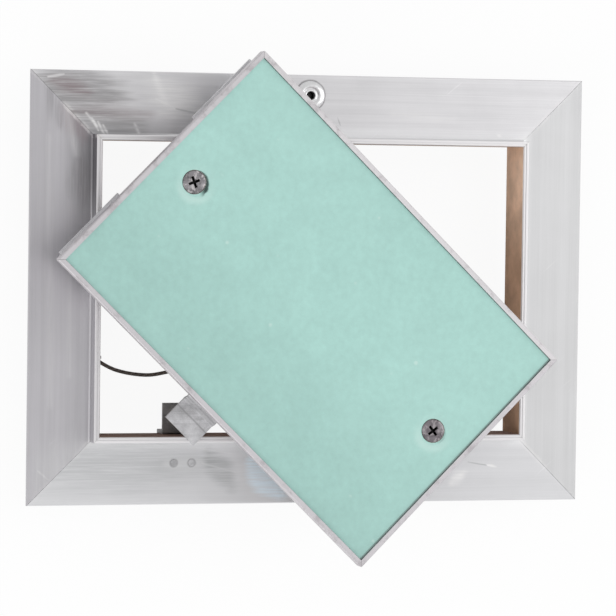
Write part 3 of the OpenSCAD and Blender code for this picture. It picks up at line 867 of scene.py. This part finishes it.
# The right member's walls carry a paler painted reflection than the others.
FRAME_RIGHT = DrawnAluminium("frame_metal_right", srgb(207, 207, 208), 0.38, 0.85, run=Run.ALONG_Y,
                             wall_high=srgb(236, 204, 178), wall_low=srgb(182, 147, 120))
RIVET_METAL = SheetSteel("rivet_metal", srgb(205, 204, 206), 0.36, 0.8, srgb(232, 231, 231), 0.3)
POP_RIVET = RivetAluminium("pop_rivet_metal", srgb(228, 228, 229), 0.3, 0.85, srgb(242, 242, 242), 0.3,
                           axis=(CATCH_RIVET[0] * MM, CATCH_RIVET[1] * MM))
KEEPER_RIVET = SheetSteel("keeper_rivet_ends", srgb(200, 200, 202), 0.42, 0.8,
                          srgb(176, 176, 177), 0.6, mottling=1.6)
ZINC = SheetSteel("zinc_plate", srgb(212, 212, 214), 0.48, 0.5, srgb(226, 226, 227), 0.5)
BLUED = SheetSteel("spring_strip", srgb(118, 119, 124), 0.36, 0.85, srgb(160, 160, 163), 0.4)
DARK = SheetSteel("dark_strip", srgb(130, 128, 128), 0.55, 0.35, srgb(172, 169, 168), 0.6,
                  mottling=1.2, grain=0.7)
SCREW_GREY = ScrewSteel("screw_grey", srgb(142, 139, 142), 0.4, 0.6, srgb(204, 201, 202), 0.8,
                        mottling=2.2, grain=1.2)
SLEEVE = SheetSteel("cord_sleeve", srgb(168, 167, 166), 0.4, 0.8, srgb(205, 204, 203), 0.4)
GREEN = BoardPaper("board_green", srgb(170, 211, 203), 0.82, streak=srgb(180, 216, 209), specks=0.3,
                   rings=((-47.9, 36.4, 0.42, 0.97), (37.6, -48.5, 0.42, 0.3)), low_side_shade=0.11,
                   gap_shade_from=72.72 * MM)
BACK_PAPER = BoardPaper("board_back", srgb(186, 172, 146), 0.88, streak=srgb(170, 156, 132),
                        specks=0.2)
GYPSUM = BoardPaper("board_gypsum", srgb(232, 229, 221), 0.92, streak=srgb(222, 218, 208),
                    specks=0.3)
CORD_DARK = CordSheath("cord_strands", srgb(62, 54, 50), 0.6, pale=srgb(112, 103, 97))


class Form:
    """A mesh in the making, with its place in its vertices."""

    def __init__(self) -> None:
        """Starts an empty mesh."""
        self.mesh = bmesh.new()

    def spin(self, outline: Iterable[Point], steps: int, middle: Point = (0.0, 0.0)) -> None:
        """Spins an outline round an upright axis.

        Args:
            outline: Radius and height of each point, in millimetres.
            steps: Steps of the full turn.
            middle: Where the axis stands, in metres.
        """
        x, y = middle
        points = [self.mesh.verts.new((x + radius * MM, y, height * MM)) for radius, height in outline]
        edges = [self.mesh.edges.new(pair) for pair in zip(points, points[1:])]
        bmesh.ops.spin(self.mesh, geom=points + edges, cent=(x, y, 0.0), axis=(0, 0, 1),
                       angle=2 * math.pi, steps=steps, use_merge=True)

    def border(self, height: float = 0.0) -> list[bmesh.types.BMEdge]:
        """Gives the open edges that lie at a height."""
        return [edge for edge in self.mesh.edges if edge.is_boundary
                and all(abs(vert.co.z - height) < NEAR for vert in edge.verts)]

    def fill(self, edges: list[bmesh.types.BMEdge]) -> None:
        """Fills the flat area between closed rows of edges."""
        bmesh.ops.triangle_fill(self.mesh, use_beauty=True, use_dissolve=False, edges=edges)

    def grow(self, edges: list[bmesh.types.BMEdge]
             ) -> tuple[list[bmesh.types.BMVert], list[bmesh.types.BMEdge]]:
        """Extrudes a closed row of edges.

        Args:
            edges: The edges.

        Returns:
            The new row's points and edges.
        """
        grown = bmesh.ops.extrude_edge_only(self.mesh, edges=edges)["geom"]
        points = [part for part in grown if isinstance(part, bmesh.types.BMVert)]
        return points, [part for part in grown if isinstance(part, bmesh.types.BMEdge)
                        and all(vert in points for vert in part.verts)]

    def move(self, matrix: Matrix) -> None:
        """Moves the whole mesh."""
        bmesh.ops.transform(self.mesh, matrix=matrix, verts=self.mesh.verts)

    def data(self, name: str) -> bpy.types.Mesh:
        """Writes the mesh, and frees it.

        Args:
            name: The name of the mesh.

        Returns:
            The written mesh.
        """
        data = bpy.data.meshes.new(name)
        self.mesh.to_mesh(data)
        self.mesh.free()
        return data


def enter(name: str, data: bpy.types.ID) -> bpy.types.Object:
    """Adds an object to the scene.

    Args:
        name: Its name.
        data: Its mesh, lamp or camera.

    Returns:
        The new object.
    """
    thing = bpy.data.objects.new(name, data)
    bpy.context.scene.collection.objects.link(thing)
    return thing


@dataclass(frozen=True)
class Piece:
    """A new piece, which stands for a CAD node. One that runs between two bodies has None as its body
    and rides on neither.

    Edges that are flatter than smooth, in degrees, are shaded smooth.
    """

    name: str
    body: Body | None
    finish: Finish
    slot: str
    replaces: str
    smooth: float = 35.0

    def build(self, form: Form) -> bpy.types.Object:
        """Writes the mesh, dresses it and sets it on its body.

        Args:
            form: The mesh.

        Returns:
            The new object.
        """
        bmesh.ops.remove_doubles(form.mesh, verts=form.mesh.verts, dist=NEAR)
        bmesh.ops.recalc_face_normals(form.mesh, faces=form.mesh.faces)
        limit = math.radians(self.smooth)
        for face in form.mesh.faces:
            face.smooth = True
        for edge in form.mesh.edges:
            edge.smooth = len(edge.link_faces) == 2 and edge.calc_face_angle(0.0) < limit
        data = form.data(self.name)
        data.materials.append(SHOP.get(self.finish))
        piece = enter(self.name, data)
        if self.body is not None:
            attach(piece, self.body.value)
        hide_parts(self.replaces)
        LOG.info("built %s with %d faces", self.name, len(data.polygons))
        return piece


@dataclass
class DoorPlace:
    """Where the door lies on the frame."""

    x: float = -6.3 * MM
    y: float = -6.4 * MM
    lip_z: float = 29.3 * MM
    turn: float = math.radians(-44.5)

    def matrix(self) -> Matrix:
        """Gives the move from the door's own frame to where it lies."""
        return Matrix.Translation((self.x, self.y, self.lip_z)) @ Matrix.Rotation(self.turn, 4, "Z")


DOOR = DoorPlace()


@dataclass
class FrameProfiles:
    """The four mitred members, their corner angles, keepers and catch."""

    rivet_place: Place = (CATCH_RIVET[0] * MM, CATCH_RIVET[1] * MM, 1.6 * MM)
    rivet_steps: int = 64
    rivet: tuple[Point, ...] = (
        (0.0, -6.2), (2.4, -6.2), (3.2, -5.4), (3.2, -3.4), (2.6, -2.4), (2.4, -2.4), (2.4, 0.0),
        (5.2, 0.0), (5.17, 0.22), (5.05, 0.48), (4.78, 0.76), (4.4, 0.98), (3.95, 1.16), (3.5, 1.27),
        (3.2, 1.24), (2.9, 1.04), (2.58, 0.86), (2.34, 0.8), (2.22, 0.84), (2.1, 0.95), (1.92, 1.0),
        (1.72, 0.98), (1.57, 0.9), (1.5, 0.7), (1.5, -1.6), (1.2, -1.5), (0.0, -1.4))

    def build(self) -> None:
        """Builds the catch's pop rivet with its upset shank, dished head and lip round the hole."""
        form = Form()
        form.spin(self.rivet, self.rivet_steps)
        form.move(Matrix.Translation(self.rivet_place))
        Piece("catch_pop_rivet", Body.FRAME, POP_RIVET, "rivet_aluminium", "catch_rivet").build(form)

    def dress(self) -> None:
        """Gives the CAD nodes of the frame their finishes."""
        for finish, *nodes in (
                (FRAME_TOP, "frame_top"), (FRAME_LOW, "frame_bottom"), (SHADED_FRAME_LEFT, "frame_left"),
                (FRAME_RIGHT, "frame_right"), (ZINC, "frame_corner_angles", "cord_tab_frame"),
                (DARK, "keeper_left", "keeper_right"), (KEEPER_RIVET, "keeper_rivets"),
                (BLUED, "catch_base", "catch_leaf"), (RIVET_METAL, "cord_tab_rivet")):
            SHOP.dress(finish, *nodes)


@dataclass
class SafetyCord:
    """The cord that ties the door to the frame, lying slack under the door. Its lay is the CAD's."""

    diameter: float = 1.3 * MM
    sides: int = 12
    rings_per_step: int = 4
    lay: tuple[Place, ...] = (
        (-74.05, -23.7, -8.1), (-73.94, -24.78, -8.07), (-73.14, -25.66, -8.15),
        (-71.53, -26.65, -8.62), (-69.22, -27.83, -9.59), (-66.22, -29.01, -10.77),
        (-62.21, -29.99, -11.4), (-58.1, -30.57, -11.4), (-54.1, -30.7, -11.4),
        (-50.19, -30.14, -11.4), (-45.58, -29.02, -11.4), (-39.08, -26.6, -11.4),
        (-31.57, -22.78, -11.4), (-24.56, -17.76, -11.4), (-18.56, -11.75, -11.4),
        (-14.05, -4.73, -11.4), (-11.54, 3.29, -11.4), (-11.54, 11.31, -11.4),
        (-13.13, 19.33, -11.4), (-16.52, 27.35, -9.99), (-21.52, 33.16, -6.66),
        (-27.91, 35.98, -1.63), (-34.51, 35.8, 4.69), (-40.1, 33.02, 10.12),
        (-43.49, 29.94, 12.75), (-45.39, 28.05, 13.07), (-46.58, 26.87, 13.1))
    bend_from: Place = (0.0, -23.7 * MM, 0.0)
    bend_to: Place = (0.0, 25.5 * MM, 0.0)
    sleeve_steps: int = 32
    sleeve: tuple[Point, ...] = (
        (0.0, -2.5), (1.22, -2.5), (1.36, -2.44), (1.4, -2.3), (1.4, -1.65), (1.3, -1.5),
        (1.16, -1.38), (1.12, -1.05), (1.16, -0.72), (1.3, -0.6), (1.4, -0.45), (1.4, 0.45),
        (1.3, 0.6), (1.16, 0.72), (1.12, 1.05), (1.16, 1.38), (1.3, 1.5), (1.4, 1.65), (1.4, 2.3),
        (1.36, 2.44), (1.22, 2.5), (0.82, 2.5), (0.7, 2.44), (0.66, 2.3), (0.64, 2.12), (0.42, 2.22),
        (0.0, 2.26))

    def path(self) -> list[Vector]:
        """Gives the smooth line through the lay's points.

        Returns:
            Points in metres, close together.
        """
        points = [Vector(point) * MM for point in self.lay]
        smooth: list[Vector] = []
        for index in range(len(points) - 1):
            before = points[max(index - 1, 0)]
            start, end = points[index], points[index + 1]
            after = points[min(index + 2, len(points) - 1)]
            for step in range(self.rings_per_step):
                share = step / self.rings_per_step
                smooth.append(0.5 * (
                    2 * start + (end - before) * share
                    + (2 * before - 5 * start + 4 * end - after) * share ** 2
                    + (3 * start - before - 3 * end + after) * share ** 3))
        return smooth + [points[-1]]

    @staticmethod
    def heading(path: list[Vector], index: int) -> Matrix:
        """Gives the turn from the Z axis to the path's way at a point."""
        ahead = path[min(index + 1, len(path) - 1)] - path[max(index - 1, 0)]
        return ahead.to_track_quat("Z", "Y").to_matrix()

    def sweep(self, path: list[Vector]) -> Form:
        """Draws a ring along a path, closes the tube's ends and maps it.

        Args:
            path: The tube's middle line.

        Returns:
            The tube.
        """
        form = Form()
        mesh = form.mesh
        mesh.loops.layers.uv.new("lay")
        ring = bmesh.ops.create_circle(mesh, segments=self.sides, radius=self.diameter / 2)["verts"]
        edges = mesh.edges[:]
        turn_before, at = Matrix.Identity(3), Vector(ORIGIN)
        for index, point in enumerate(path):
            if index:
                ring, edges = form.grow(edges)
            turn = self.heading(path, index)
            bmesh.ops.rotate(mesh, verts=ring, cent=at, matrix=turn @ turn_before.transposed())
            bmesh.ops.translate(mesh, verts=ring, vec=point - at)
            turn_before, at = turn, point
        bmesh.ops.holes_fill(mesh, edges=mesh.edges[:], sides=self.sides)
        self.map_lay(mesh, path)
        return form

    def map_lay(self, mesh: bmesh.types.BMesh, path: list[Vector]) -> None:
        """Sets the UV map: round the cord along U, and metres along it on V.

        Args:
            mesh: The tube.
            path: The tube's middle line.
        """
        lay = mesh.loops.layers.uv["lay"]
        travelled = [0.0]
        for before, after in zip(path, path[1:]):
            travelled.append(travelled[-1] + (after - before).length)
        for face in mesh.faces:
            centre = face.calc_center_median()
            nearest = min(range(len(path)), key=lambda row: (path[row] - centre).length_squared)
            turn = self.heading(path, nearest).transposed()
            middle = turn @ (centre - path[nearest])
            base = math.atan2(middle.y, middle.x)
            for loop in face.loops:
                local = turn @ (loop.vert.co - path[nearest])
                swing = math.atan2(local.y, local.x) - base
                swing = (swing + math.pi) % (2 * math.pi) - math.pi
                loop[lay].uv = ((base + swing) / (2 * math.pi), travelled[nearest] + local.z)

    def build(self) -> None:
        path = self.path()
        strands = Piece("safety_cord_strands", None, CORD_DARK, "cord", "safety_cord", smooth=60.0)
        piece = strands.build(self.sweep(path))
        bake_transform(piece)
        length = sum((b - a).length for a, b in zip(path, path[1:]))
        LOG.info("cord is %.1f mm long", length / MM)
        self.crimp("cord_sleeve_frame", Body.FRAME, Matrix.Rotation(-math.pi / 2, 4, "X"))
        self.crimp("cord_sleeve_door", Body.DOOR, Matrix.Rotation(DOOR.turn, 4, "Z")
                   @ Matrix.Rotation(math.pi / 2, 4, "X"))

    def crimp(self, node: str, body: Body, turn: Matrix) -> None:
        """Builds a sleeve with two pressed bands, which stops an end of the cord behind its tab.

        Args:
            node: The CAD sleeve that it stands for.
            body: The body it rides on.
            turn: The turn from the Z axis to the sleeve's own.
        """
        form = Form()
        form.spin(self.sleeve, self.sleeve_steps)
        low, high = (Vector(corner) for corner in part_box(node))
        form.move(Matrix.Translation((low + high) / 2) @ turn)
        Piece(node.replace("sleeve", "crimp"), body, SLEEVE, "sleeve_steel", node).build(form)


@dataclass
class Door:
    """The lift-out door: its edge, board, screws, bars, tongue and strike.

    Outlines and the sizes of hole, dimple and thread are in millimetres.
    """

    board_w: float = 146.3 * MM
    board_h: float = 96.3 * MM
    lap_end: float = 0.33 * MM
    lap_side: float = 0.2 * MM
    board_top: float = -0.8 * MM
    paper_t: float = 0.4 * MM
    hole_r: float = 4.2
    dimple_r: float = 6.6
    dimple_d: float = 0.32
    dimple_rows: int = 12
    dimple_steps: int = 72
    screw_places: tuple[Point, ...] = ((-60.5 * MM, 1.5 * MM), (60.5 * MM, 1.2 * MM))
    screw_turns: Point = (math.radians(64.5), math.radians(82.5))
    screw_top: float = -1.1 * MM
    screw_steps: int = 48
    screw_head: tuple[Point, ...] = (
        (2.9, 0.0), (3.65, 0.0), (3.9, -0.06), (4.0, -0.25), (3.95, -0.5), (3.2, -1.25), (2.5, -2.1),
        (1.75, -3.4), (1.2, -4.2))
    thread: tuple[Point, ...] = ((1.15, -4.4), (1.75, -4.75), (1.15, -5.1))
    thread_turns: int = 8
    thread_pitch: float = 1.1
    screw_tip: tuple[Point, ...] = ((1.05, -13.6), (0.0, -16.0))
    recess_reach: float = 2.1 * MM
    recess_half: float = 0.475 * MM
    recess_depth: float = 1.7 * MM
    recess_taper: float = 0.55

    def build(self) -> None:
        """Builds the pieces that the door shows better than its CAD nodes."""
        self.face_paper()
        self.screws()

    def face_paper(self) -> None:
        """Builds the green face paper, which laps over the board's edge and dips round the screws."""
        form = Form()
        mesh = form.mesh
        bmesh.ops.create_grid(mesh, x_segments=2, y_segments=2, size=0.5)
        inner = [vert for vert in mesh.verts if not vert.is_boundary]
        bmesh.ops.delete(mesh, geom=inner, context="VERTS")
        bmesh.ops.scale(mesh, verts=mesh.verts, vec=(
            self.board_w + self.lap_end + self.lap_side, self.board_h + 2 * self.lap_side, 1.0))
        form.move(Matrix.Translation(((self.lap_side - self.lap_end) / 2, 0.0, 0.0)))
        rim = mesh.edges[:]
        for place in self.screw_places:
            form.spin(self.dimple(), self.dimple_steps, place)
        form.fill(rim + form.border())
        for vert in form.grow(form.border())[0]:
            vert.co.z = -self.paper_t
        form.fill(form.border(-self.paper_t))
        form.move(DOOR.matrix() @ Matrix.Translation((0.0, 0.0, self.board_top)))
        Piece("board_green_face", Body.DOOR, GREEN, "green_paper", "board_face_paper",
              smooth=40.0).build(form)

    def dimple(self) -> list[Point]:
        """Gives the paper's dip round a screw: out from the hole's foot to the flat face.

        Returns:
            Radius and height of each point.
        """
        outline = [(self.hole_r, -self.paper_t / MM)]
        for row in range(self.dimple_rows + 1):
            share = row / self.dimple_rows
            ease = share * share * (3 - 2 * share)
            outline.append((self.hole_r + (self.dimple_r - self.hole_r) * share,
                            -self.dimple_d * (1 - ease)))
        return outline

    def screws(self) -> None:
        """Builds the two board screws with bugle heads, cross recesses and threads."""
        rings = [(radius, height - self.thread_pitch * turn) for turn in range(self.thread_turns)
                 for radius, height in self.thread]
        both = Form()
        for (x, y), turn in zip(self.screw_places, self.screw_turns):
            screw = Form()
            screw.spin([*self.screw_head, *rings, *self.screw_tip], self.screw_steps)
            self.sink_cross(screw)
            place = Matrix.Translation((x, y, self.screw_top)) @ Matrix.Rotation(turn, 4, "Z")
            screw.move(DOOR.matrix() @ place)
            part = screw.data("screw_part")
            both.mesh.from_mesh(part)
            bpy.data.meshes.remove(part)
        Piece("board_bugle_screws", Body.DOOR, SCREW_GREY, "screw_steel", "board_screws",
              smooth=30.0).build(both)

    def sink_cross(self, screw: Form) -> None:
        """Closes the head's top with a sunk cross.

        Args:
            screw: The screw, open at its head.
        """
        mesh, reach, half = screw.mesh, self.recess_reach, self.recess_half
        rim = screw.border()
        corners = []
        for quarter in range(4):
            turn = Matrix.Rotation(quarter * math.pi / 2, 3, "Z")
            for x, y in ((half, half), (reach, half), (reach, -half)):
                corners.append(mesh.verts.new(turn @ Vector((x, y, 0.0))))
        corners.sort(key=lambda vert: math.atan2(vert.co.y, vert.co.x))
        cross = [mesh.edges.new(pair) for pair in zip(corners, corners[1:] + corners[:1])]
        screw.fill(rim + cross)
        floor = [face for face in mesh.faces if all(vert in corners for vert in face.verts)]
        bmesh.ops.delete(mesh, geom=floor, context="FACES_ONLY")
        points, edges = screw.grow(cross)
        for vert in points:
            vert.co = (vert.co.x * self.recess_taper, vert.co.y * self.recess_taper, -self.recess_depth)
        bmesh.ops.contextual_create(mesh, geom=edges)

    def dress(self) -> None:
        """Gives the CAD nodes of the door their finishes."""
        long_edge = EdgeAluminium("door_edge_long", srgb(206, 203, 206), 0.4, 0.8, turn=DOOR.turn)
        # The top edge is a paler copy of the same metal: painted light on the edge that faces the light.
        lit_edge = EdgeAluminium("door_edge_painted_light", srgb(216, 213, 215), 0.4, 0.8, turn=DOOR.turn)
        short_edge = EdgeAluminium("door_edge_short", srgb(206, 203, 206), 0.4, 0.8,
                                   run=Run.ALONG_Y, turn=DOOR.turn)
        tongue = TonguePlate("tongue_plate", srgb(200, 200, 202), 0.55, 0.4, srgb(218, 218, 219), 0.5,
                             mottling=1.6, grain=0.7, turn=DOOR.turn, middle=(DOOR.x, DOOR.y))
        for finish, *nodes in (
                (lit_edge, "door_edge_top"), (long_edge, "door_edge_bottom"),
                (short_edge, "door_edge_left", "door_edge_right"),
                (ZINC, "door_corner_plates", "back_bar_left", "back_bar_right", "strike_blade",
                 "cord_tab_door"),
                (RIVET_METAL, "door_corner_rivets", "bar_rivets", "tongue_rivets", "strike_rivets"),
                (GYPSUM, "board_core"), (BACK_PAPER, "board_back_paper"), (tongue, "hook_tongue")):
            SHOP.dress(finish, *nodes)


@dataclass
class Lamp:
    """A soft rectangular lamp: where it stands, the point it faces, its size and its power."""

    name: str
    place: Place
    aim: Place
    size: Point
    watts: float

    def build(self) -> None:
        """Adds the lamp to the scene."""
        data = bpy.data.lights.new(self.name, "AREA")
        data.shape = "RECTANGLE"
        data.size, data.size_y = self.size
        data.energy = self.watts
        lamp = enter(self.name, data)
        lamp.location = self.place
        ahead = Vector(self.aim) - Vector(self.place)
        lamp.rotation_euler = ahead.to_track_quat("-Z", "Y").to_euler()


@dataclass
class Studio:
    """Camera, soft light and the pale floor."""

    camera_place: Place = (-0.3185, 0.0385, 1.1563)
    camera_aim: Place = (-0.0001, -0.0066, 0.0)
    camera_roll: float = math.radians(0.787)
    lens: float = 199.79
    sensor: float = 36.0
    sight: float = 20.0
    lamps: tuple[Lamp, ...] = (
        Lamp("key", (0.90, 0.10, 0.60), (0.05, 0.0, 0.0), (0.7, 1.0), 4.0),
        Lamp("fill", (-0.62, -0.55, 0.45), (-0.03, -0.03, 0.0), (0.7, 0.7), 2.2))
    surround: float = 0.76
    floor_z: float = -12.17 * MM
    floor_half: float = 6.0
    floor_grey: float = 0.88
    floor_rough: float = 0.9
    floor_glow: float = 0.92

    def build(self) -> None:
        """Sets up camera, lamps, world and floor."""
        scene = bpy.context.scene
        scene.view_settings.view_transform = "Standard"
        scene.camera = self.camera()
        for lamp in self.lamps:
            lamp.build()
        world = bpy.data.worlds.new("surround")
        scene.world = world
        world.use_nodes = True
        background = world.node_tree.nodes["Background"].inputs
        background["Color"].default_value = (1.0, 1.0, 1.0, 1.0)
        background["Strength"].default_value = self.surround
        form = Form()
        bmesh.ops.create_grid(form.mesh, x_segments=1, y_segments=1, size=self.floor_half)
        form.move(Matrix.Translation((0.0, 0.0, self.floor_z)))
        data = form.data("floor")
        data.materials.append(self.white())
        enter("floor", data)

    def camera(self) -> bpy.types.Object:
        """Places the camera where the photograph was taken from.

        Returns:
            The camera.
        """
        data = bpy.data.cameras.new("camera")
        data.lens = self.lens
        data.sensor_width = self.sensor
        data.clip_end = self.sight
        camera = enter("camera", data)
        ahead = (Vector(self.camera_aim) - Vector(self.camera_place)).normalized()
        side = ahead.cross(Vector((0, 1, 0))).normalized()
        turn = Matrix((side, side.cross(ahead), -ahead)).transposed()
        roll = Matrix.Rotation(self.camera_roll, 3, ahead).transposed()
        camera.matrix_world = Matrix.Translation(self.camera_place) @ (roll @ turn).to_4x4()
        return camera

    def white(self) -> bpy.types.Material:
        """Makes the floor's material, which glows for the camera and in reflections.

        Returns:
            The material.
        """
        material = bpy.data.materials.new("floor_white")
        material.use_nodes = True
        net = Net(material.node_tree)
        shader = net.tree.nodes["Principled BSDF"]
        shader.inputs["Base Color"].default_value = (*[self.floor_grey] * 3, 1.0)
        shader.inputs["Roughness"].default_value = self.floor_rough
        light = net.add("ShaderNodeLightPath", {}).outputs
        camera, glossy, through = (Value(net, light[f"Is {kind} Ray"])
                                   for kind in ("Camera", "Glossy", "Transmission"))
        seen = camera.math("MAXIMUM", glossy.math("MAXIMUM", through))
        lit, glow = Value(net, shader.outputs["BSDF"]), net.give("ShaderNodeEmission", {})
        blend = net.give("ShaderNodeMixShader", {0: seen * self.floor_glow, 1: lit, 2: glow})
        net.put(net.tree.nodes["Material Output"].inputs["Surface"], blend)
        return material


def write_sizes() -> None:
    """Defines a helper that gives a box as plain lists, and writes nothing."""
    def plain(box: tuple[Vector, Vector]) -> list[list[float]]:
        """Gives a box as plain lists."""
        return [[float(value) for value in corner] for corner in box]


def main() -> None:
    """Builds the studio, then builds and dresses the panel."""
    logging.basicConfig(level=logging.INFO, format="%(name)s: %(message)s")
    Studio().build()
    SafetyCord().build()
    profiles = FrameProfiles()
    profiles.build()
    profiles.dress()
    door = Door()
    door.build()
    door.dress()
    write_sizes()


if __name__ == "__main__":
    main()
